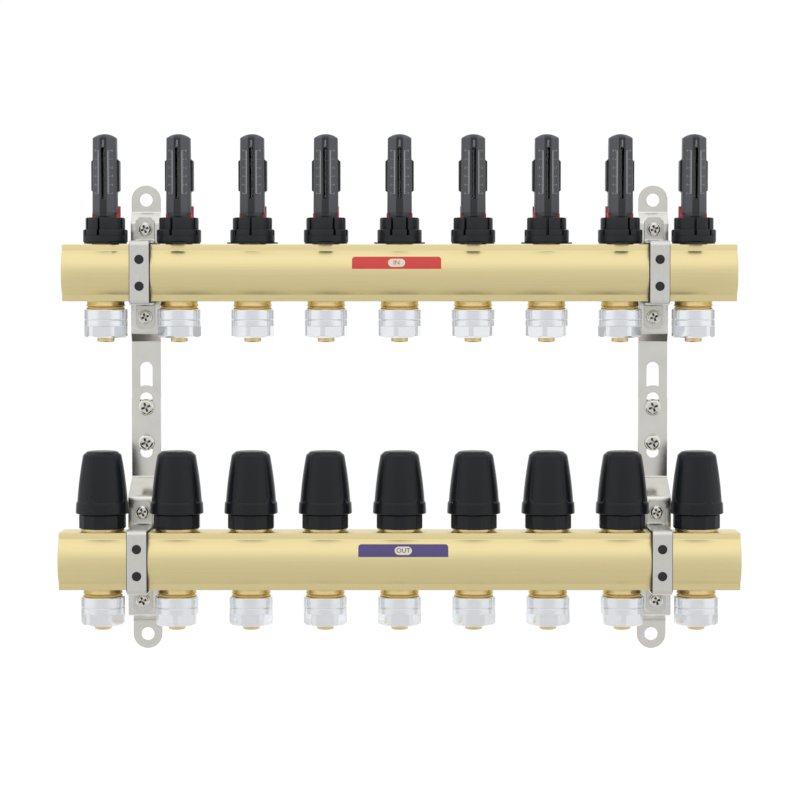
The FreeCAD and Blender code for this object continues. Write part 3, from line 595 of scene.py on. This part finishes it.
def meter_housing_shape():
    """The housing with its tube bore and slot, domed top, front lip, spigot and wings."""
    shape = bmesh.new()
    start = [shape.verts.new((x * MM, y * MM, housing_foot * MM)) for x, y in housing_plan]
    ring = shape.faces.new(start)
    foot = bmesh.ops.extrude_face_region(shape, geom=[ring])["geom"]
    half = housing_plan[2][0] * housing_scale(housing_side_top)
    drop = housing_top - housing_side_top
    dome = (half ** 2 + drop ** 2) / (2 * drop)
    rim = (2.45 * housing_scale(slot_foot)) - slot_half
    levels = [(level, housing_scale(level))
              for level in (slot_foot - rim, slot_top + rim, housing_side_top)]
    for step in (0.93, 0.84, 0.72, 0.56, 0.38, 0.18):
        level = housing_top - dome + math.sqrt(dome ** 2 - (half * step) ** 2)
        levels.append((level, housing_scale(housing_side_top) * step))
    last_height, last_scale = housing_foot, 1.0
    for height, scale in levels:
        moved = [item for item in foot if isinstance(item, bmesh.types.BMVert)]
        bmesh.ops.translate(shape, vec=(0, 0, (height - last_height) * MM), verts=moved)
        ratio = scale / last_scale
        bmesh.ops.scale(shape, vec=(ratio, ratio, 1), verts=moved)
        last_height, last_scale = height, scale
        if height != levels[-1][0]:
            top = [item for item in foot if isinstance(item, bmesh.types.BMFace)]
            foot = bmesh.ops.extrude_face_region(shape, geom=top)["geom"]
            bmesh.ops.delete(shape, geom=top, context="FACES_ONLY")
    bmesh.ops.recalc_face_normals(shape, faces=shape.faces)
    front = [face for face in shape.faces
             if face.normal.y < -0.9 and 60 * MM < face.calc_center_median().z < 80 * MM]
    bmesh.ops.inset_region(shape, faces=front, thickness=rim * MM)
    mouth = [edge for face in front for edge in face.edges]
    bmesh.ops.delete(shape, geom=front, context="FACES_ONLY")
    bore = bmesh.ops.create_cone(shape, cap_ends=True, segments=24, radius1=tube_bore * MM,
                                 radius2=tube_bore * MM, depth=(tube_head - tube_foot) * MM,
                                 matrix=Matrix.Translation((0, 0, (tube_head + tube_foot) / 2 * MM)))
    for height in (slot_foot, slot_top):
        faces = {face for vert in bore["verts"] for face in vert.link_faces}
        edges = {edge for face in faces for edge in face.edges}
        verts = {vert for face in faces for vert in face.verts}
        bmesh.ops.bisect_plane(shape, geom=list(verts) + list(edges) + list(faces),
                               plane_co=(0, 0, height * MM), plane_no=(0, 0, 1), dist=1e-7)
        linked = set(bore["verts"])
        for vert in list(linked):
            linked.update(edge.other_vert(vert) for edge in vert.link_edges)
        bore["verts"] = [vert for vert in linked if math.hypot(vert.co.x, vert.co.y) < 4.7 * MM]
    opened = [face for face in shape.faces
              if face.calc_center_median().y < -4.2 * MM and len(face.verts) == 4
              and all(math.hypot(vert.co.x, vert.co.y) < 4.7 * MM for vert in face.verts)
              and slot_foot * MM < face.calc_center_median().z < slot_top * MM]
    inner = [edge for edge in {edge for face in opened for edge in face.edges}
             if len([face for face in edge.link_faces if face in opened]) == 1]
    bmesh.ops.delete(shape, geom=opened, context="FACES")
    bmesh.ops.bridge_loops(shape, edges=[edge for edge in mouth if edge.is_valid] + inner)
    for side in (-1, 1):
        corners = [(side * 7.6, 54.5), (side * 9.7, 56), (side * 9.7, 75.8), (side * 7.6, 77.6)]
        wing = shape.faces.new([shape.verts.new((x * MM, 0.6 * MM, z * MM)) for x, z in corners])
        grown = bmesh.ops.extrude_face_region(shape, geom=[wing])["geom"]
        back = [item for item in grown if isinstance(item, bmesh.types.BMVert)]
        bmesh.ops.translate(shape, vec=(0, 5.2 * MM, 0), verts=back)
    below = housing_foot + 0.3
    outline = [(2.4, -8.1), (7.3, -4.6), (7.3, -2.45), (-7.3, -2.45), (-7.3, -4.6), (-2.4, -8.1)]
    lip = shape.faces.new([shape.verts.new((x * MM, y * MM, below * MM)) for x, y in outline])
    grown = bmesh.ops.extrude_face_region(shape, geom=[lip])["geom"]
    under = [item for item in grown if isinstance(item, bmesh.types.BMVert)]
    bmesh.ops.translate(shape, vec=(0, 0, (lip_foot - below) * MM), verts=under)
    wide = [vert for vert in under if abs(vert.co.x) > lip_half * MM]
    bmesh.ops.scale(shape, vec=(lip_half / 7.3, 1, 1), verts=wide)
    lathe(shape, [(6.1 * MM, 25.6 * MM), (7.4 * MM, 25.6 * MM), (7.4 * MM, 40.9 * MM),
                  (6.1 * MM, 40.9 * MM)], 48)
    bmesh.ops.recalc_face_normals(shape, faces=shape.faces)
    return shape


def scale_facet(side):
    """The frame of one scale facet: its foot, across it, up it and out of it."""
    across = Vector((side * (7.4 - 2.45), 8.2 - 4.6, 0)).normalized()
    foot = Vector((side * 2.45, -8.2, housing_foot))
    shrunk = housing_scale(90)
    head = Vector((side * 2.45 * shrunk, -8.2 * shrunk, 90))
    up = (head - foot).normalized()
    out = across.cross(up) * side
    return foot, across, up, out.normalized()


def ink_bar(shape, side, along, height, size):
    """One printed stroke on a scale facet, at a distance along it and a height."""
    foot, across, up, out = scale_facet(side)
    centre = foot + across * along + up * height + out * 0.02
    turn = Matrix((across, up, out)).transposed().to_4x4()
    size = Matrix.Diagonal((size[0], size[1], 0.08, 1))
    bmesh.ops.create_cube(shape, size=1, matrix=Matrix.Scale(MM, 4) @ Matrix.Translation(centre)
                          @ turn @ size)


def lettering(words, size):
    """The mesh of a word or number, in millimetres, lying flat and centred."""
    text = bpy.data.curves.new("lettering", "FONT")
    text.body = words
    text.size = size
    text.align_x = "CENTER"
    text.align_y = "CENTER"
    text.extrude = 0.04
    text.resolution_u = 3
    holder = bpy.data.objects.new("lettering", text)
    bpy.context.scene.collection.objects.link(holder)
    mesh = bpy.data.meshes.new_from_object(holder)
    bpy.data.objects.remove(holder)
    shape = bmesh.new()
    shape.from_mesh(mesh)
    bmesh.ops.remove_doubles(shape, verts=shape.verts, dist=1e-4)
    shape.to_mesh(mesh)
    shape.free()
    return mesh


def add_mesh(shape, mesh, place):
    """Add a copy of a mesh in millimetres at a place."""
    before = set(shape.verts)
    shape.from_mesh(mesh)
    made = [vert for vert in shape.verts if vert not in before]
    bmesh.ops.transform(shape, verts=made, matrix=Matrix.Scale(MM, 4) @ place)


digits = {value: lettering(value, 2.0) for value in "012345"}
unit_mark = lettering("l/min", 2.3)
scale_low = 53.8
scale_high = 82.6


def meter_scale_shape():
    """The printed scale on both facets: an inner line, outward ticks and numbers."""
    shape = bmesh.new()
    rise = scale_high - scale_low
    for side in (-1, 1):
        foot, across, up, out = scale_facet(side)
        face_right = across * side
        turn = Matrix((face_right, up, out)).transposed().to_4x4()
        middle = (scale_low + scale_high) / 2 - housing_foot
        ink_bar(shape, side, 1.1, middle, (0.5, rise))
        for tick in range(21):
            height = scale_low + rise * tick / 20 - housing_foot
            length = 0.9 if tick % 4 else 1.6
            ink_bar(shape, side, 1.2 + length / 2, height, (length, 0.28))
        for value in range(6):
            height = scale_high - rise * value / 5 - housing_foot
            centre = foot + across * 4.2 + up * (height + 0.1) + out * 0.02
            add_mesh(shape, digits[str(value)], Matrix.Translation(centre) @ turn)
    upright = Matrix.Rotation(math.pi / 2, 4, "X") @ Matrix.Rotation(math.pi / 2, 4, "Z")
    front = -8.2 * housing_scale(87.5)
    add_mesh(shape, unit_mark, Matrix.Translation((0, front - 0.02, 87.7)) @ upright)
    return shape


def float_shapes():
    """The float in two parts: its flow plate and rod, and the red marker at its top."""
    rod = bmesh.new()
    lathe(rod, [(0, 10 * MM), (4.8 * MM, 10 * MM), (5.0 * MM, 10.2 * MM), (5.0 * MM, 11.3 * MM),
                (4.8 * MM, 11.5 * MM), (1.2 * MM, 11.5 * MM), (1.2 * MM, 86 * MM), (0, 86 * MM)], 32)
    marker = bmesh.new()
    lathe(marker, [(1.21 * MM, 84.7 * MM), (3.0 * MM, 84.7 * MM), (3.2 * MM, 84.9 * MM),
                   (3.2 * MM, 87.0 * MM), (3.0 * MM, 87.2 * MM), (1.21 * MM, 87.2 * MM)], 32)
    for shape in (rod, marker):
        bmesh.ops.recalc_face_normals(shape, faces=shape.faces)
    return rod, marker


dial_mesh = flow_dial_shape()
rod_mesh, marker_mesh = float_shapes()
housing_mesh = meter_housing_shape()
scale_mesh = meter_scale_shape()
for i in range(port_count):
    number = str(i + 1)
    piece(dial_mesh, "setting_dial_" + number, "flow_dial_" + number, dial_nylon,
          ["flow_dial_" + number], at_port(supply_axis, i, dial_turns[i]), 0.2 * MM, 30)
    upright = at_port(supply_axis, i, housing_turns[i])
    piece(housing_mesh, "meter_housing_" + number, "supply_side", housing_nylon,
          ["meter_housings"], upright, 0.25 * MM, 20)
    piece(scale_mesh, "meter_scale_" + number, "supply_side", scale_ink,
          [], upright, crease=60)
    for mesh, part, material, slot in ((rod_mesh, "float_rod_", dial_nylon, "black_plastic"),
                                       (marker_mesh, "float_marker_", red_nylon, "red_plastic")):
        piece(mesh, part + number, "flow_float_" + number, material,
              ["flow_float_" + number], at_port(supply_axis, i))
finishes = {"meter_lock_clips": red_nylon, "meter_sight_tubes": clear_tube,
            "meter_base_flanges": dial_nylon, "meter_valve_bodies": turned_brass,
            "valve_inserts": turned_brass}
for i in range(port_count):
    finishes["valve_spindle_" + str(i + 1)] = turned_brass
for node, material in finishes.items():
    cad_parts[node].data.materials.clear()
    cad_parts[node].data.materials.append(material)

# Return knobs and collars
# Black nylon caps, tapered and slightly crowned, their sides relieved between four narrow
# upright ribs. Each screws down over a faceted collar nut on the valve insert.

knob_turns = (23, 1, 6, 3, 0, -3, -6, -1, -23)
knob_foot = 31.3
knob_shoulder = 71.0
knob_top = 73.7
knob_foot_radius = 18.0
knob_shoulder_radius = 13.5
knob_bulge = 0.75
rib_half_angle = 3.0
relief_depth = 0.7
relief_foot = 38.6
collar_facets = 12
collar_foot = 21.2
collar_top = 31.0


def knob_side(height):
    """The knob's outer radius at a height, in millimetres."""
    share = (height - knob_foot) / (knob_shoulder - knob_foot)
    straight = knob_foot_radius + (knob_shoulder_radius - knob_foot_radius) * share
    return straight + knob_bulge * 4 * share * (1 - share)


def return_knob_shape():
    """A hand knob, hollow below, with its relieved panels."""
    shape = bmesh.new()
    heights = [knob_foot + (knob_shoulder - 0.8 - knob_foot) * i / 52 for i in range(53)]
    side = [(knob_foot_radius - 0.5, knob_foot)]
    side += [(knob_side(height), height) for height in [knob_foot + 0.5] + heights[1:]]
    shoulder = [(13.35, 70.75), (13.0, 71.2), (12.3, 71.75), (10.9, 72.35), (10.65, 72.6),
                (10.2, 72.95), (8.5, 73.35), (5.5, 73.6), (2.5, 73.69), (0, knob_top)]
    inside = [(0, 37.1), (5, 37.1), (5, 69), (11.0, 69), (14.6, 50), (15.8, knob_foot)]
    outline = [(radius * MM, height * MM) for radius, height in side + shoulder + inside]
    lathe(shape, outline, 288)
    for vert in shape.verts:
        height = vert.co.z / MM
        radius = math.hypot(vert.co.x, vert.co.y) / MM
        on_side = radius > knob_side(min(height, knob_shoulder)) - 1.5
        angle = math.degrees(math.atan2(vert.co.y, vert.co.x))
        off_centre = abs((angle + 45) % 90 - 45)
        across = off_centre / (45 - rib_half_angle)
        if height < relief_foot - 2 or radius < knob_shoulder_radius - 1.6 or across >= 1:
            continue
        corner = relief_foot + 3.5 * max(across - 0.75, 0) ** 2 / 0.0625
        fade = min(max((height - corner) / 0.8, 0), 1) * min((1 - across) / 0.045, 1)
        if on_side:
            ratio = (radius - relief_depth * fade) / radius
            vert.co.x *= ratio
            vert.co.y *= ratio
    bmesh.ops.recalc_face_normals(shape, faces=shape.faces)
    return shape


def knob_collar_shape():
    """A collar nut, its outside cut to facets and its edges eased."""
    shape = bmesh.new()
    outline = [(14.5, collar_foot), (15.35, collar_foot), (15.9, collar_foot + 0.5),
               (15.9, collar_top - 0.5), (15.4, collar_top), (6.2, collar_top),
               (6.2, 29.5), (14.5, 29.5)]
    lathe(shape, [(radius * MM, height * MM) for radius, height in outline], collar_facets,
          start=math.pi / collar_facets)
    bmesh.ops.recalc_face_normals(shape, faces=shape.faces)
    return shape


knob_mesh = return_knob_shape()
collar_mesh = knob_collar_shape()
for i in range(port_count):
    number = str(i + 1)
    piece(knob_mesh, "hand_knob_" + number, "return_knob_" + number, knob_nylon,
          ["return_knob_" + number], at_port(return_axis, i, knob_turns[i]), crease=28)
    piece(collar_mesh, "collar_nut_" + number, "return_side", knob_nylon,
          ["knob_collars"], at_port(return_axis, i), 0.3 * MM, 20)

# Brackets
# Bent from 20 x 2 mm nickel-plated strip, with round ears, wall holes and a long slot.
# The straps are the same steel, 13 mm wide, over black rubber liners.


def eased(material, radius):
    """Light the edges of a finish as if they were rounded to a radius."""
    tree = material.node_tree
    rounding = tree.nodes.new("ShaderNodeBevel")
    rounding.samples = 8
    rounding.inputs["Radius"].default_value = radius
    bump = next(node for node in tree.nodes if node.bl_idname == "ShaderNodeBump")
    tree.links.new(rounding.outputs["Normal"], bump.inputs["Normal"])
    return material


def dark_hollows(material, reach, dark, light):
    """Paint shade into a finish deep in its hollows, such as the cross recess of a screw: painted
    shade, near black where ambient occlusion finds the surface enclosed.
    """
    tree = material.node_tree
    hollow = tree.nodes.new("ShaderNodeAmbientOcclusion")
    hollow.inputs["Distance"].default_value = reach
    ramp = tree.nodes.new("ShaderNodeValToRGB")
    ramp.color_ramp.elements[0].position = 0.50
    ramp.color_ramp.elements[1].position = 0.88
    ramp.color_ramp.elements[0].color = (*dark, 1.0)
    ramp.color_ramp.elements[1].color = (*light, 1.0)
    tree.links.new(hollow.outputs["AO"], ramp.inputs["Fac"])
    tree.links.new(ramp.outputs["Color"], tree.nodes["Principled BSDF"].inputs["Base Color"])
    return material


satin_nickel = eased(grain(principled("satin_nickel", (0.74, 0.735, 0.70), 1.0, 0.34),
                           350.0, (6.0, 6.0, 1.0), (0.28, 0.40), 0.004 * MM,
                           ((0.70, 0.695, 0.66), (0.77, 0.765, 0.73))), 0.35 * MM)
bright_nickel = eased(grain(principled("bright_nickel", (0.78, 0.77, 0.73), 1.0, 0.16),
                            60.0, (1.0, 1.0, 1.0), (0.12, 0.22), 0.01 * MM,
                            ((0.75, 0.74, 0.70), (0.81, 0.80, 0.76))), 0.35 * MM)
bright_screw = eased(grain(principled("bright_screw", (0.76, 0.74, 0.69), 1.0, 0.16),
                           500.0, (1.0, 1.0, 1.0), (0.12, 0.22), 0.003 * MM), 0.12 * MM)
# Painted shade: the screw heads' colour is darkened to near black deep in their cross recesses.
dark_hollows(bright_screw, 2.0 * MM, (0.06, 0.055, 0.05), (0.80, 0.78, 0.73))
black_rubber = grain(principled("black_rubber", (0.012, 0.012, 0.013), 0.0, 0.6),
                     500.0, (1.0, 1.0, 1.0), (0.5, 0.75), 0.004 * MM)
for node, material in (("upper_bracket_plates", bright_nickel),
                       ("lower_bracket_plates", bright_nickel), ("supply_straps", satin_nickel),
                       ("return_straps", satin_nickel), ("supply_strap_liners", black_rubber),
                       ("return_strap_liners", black_rubber),
                       ("supply_strap_screws", bright_screw),
                       ("return_strap_screws", bright_screw), ("bracket_bolts", bright_screw)):
    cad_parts[node].data.materials.clear()
    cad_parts[node].data.materials.append(material)

# Colour bands
# Printed film on the front of each bar: red for supply and violet for return, each with a
# cream pill in the middle that names the flow.

red_film = grain(principled("red_film", (0.68, 0.050, 0.042), 0.0, 0.35),
                 300.0, (1.0, 1.0, 1.0), (0.3, 0.42), 0.001 * MM)
violet_film = grain(principled("violet_film", (0.085, 0.060, 0.22), 0.0, 0.35),
                    300.0, (1.0, 1.0, 1.0), (0.3, 0.42), 0.001 * MM)
cream_film = grain(principled("cream_film", (0.80, 0.76, 0.62), 0.0, 0.4),
                   300.0, (1.0, 1.0, 1.0), (0.35, 0.48), 0.001 * MM)
pill_skin = 0.08
word_size = 4.4
pill_length = 11.5
pill_height = 5.8
band_skin = bar_radius / MM + 0.17


def curved_on(shape, centre, film):
    """Wrap a flat film lying in XY around the bar's front and give it a thickness."""
    for vert in shape.verts:
        angle = (vert.co.y + centre[1]) / band_skin
        radius = band_skin + film * (0.5 + 0.5 * math.copysign(1, vert.co.z))
        vert.co = Vector((vert.co.x + centre[0], -radius * math.cos(angle),
                          radius * math.sin(angle))) * MM


def pill_shape(centre):
    """The cream pill on a colour band, in place on the bar's own axis."""
    shape = bmesh.new()
    half = pill_height / 2
    bmesh.ops.create_circle(shape, cap_ends=True, segments=64, radius=half)
    for side in (-1, 1):
        moved = [vert for vert in shape.verts if vert.co.x * side > 1e-4]
        bmesh.ops.translate(shape, vec=(side * (pill_length / 2 - half), 0, 0), verts=moved)
    bmesh.ops.triangulate(shape, faces=shape.faces)
    bmesh.ops.subdivide_edges(shape, edges=shape.edges, cuts=3, use_grid_fill=True)
    bmesh.ops.solidify(shape, geom=list(shape.faces), thickness=0.1)
    low = min(vert.co.z for vert in shape.verts)
    bmesh.ops.translate(shape, vec=(0, 0, -low - 0.05), verts=shape.verts)
    curved_on(shape, centre, pill_skin)
    bmesh.ops.recalc_face_normals(shape, faces=shape.faces)
    return shape


def word_shape(words, centre):
    """The word printed on a pill."""
    shape = bmesh.new()
    shape.from_mesh(lettering(words, word_size))
    bmesh.ops.translate(shape, vec=(centre[0], centre[1], 0), verts=shape.verts)
    for vert in shape.verts:
        angle = vert.co.y / band_skin
        radius = band_skin + 0.05 + (0.15 if vert.co.z > 0 else 0.0)
        vert.co = Vector((vert.co.x, -radius * math.cos(angle), radius * math.sin(angle))) * MM
    return shape


for node, body, material, words, axis, slot in (
        ("supply_label", "supply_side", red_film, "IN", supply_axis, "red_label"),
        ("return_label", "return_side", violet_film, "OUT", return_axis, "violet_label")):
    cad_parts[node].data.materials.clear()
    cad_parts[node].data.materials.append(material)
    low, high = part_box(node)
    middle = (low + high) / 2 - axis
    centre = (middle.x / MM, math.asin(middle.z / MM / band_skin) * band_skin)
    place = Matrix.Translation(axis)
    piece(pill_shape(centre), node + "_pill", body, cream_film, [], place)
    piece(word_shape(words, centre), node + "_word", body, material, [], place, crease=60)
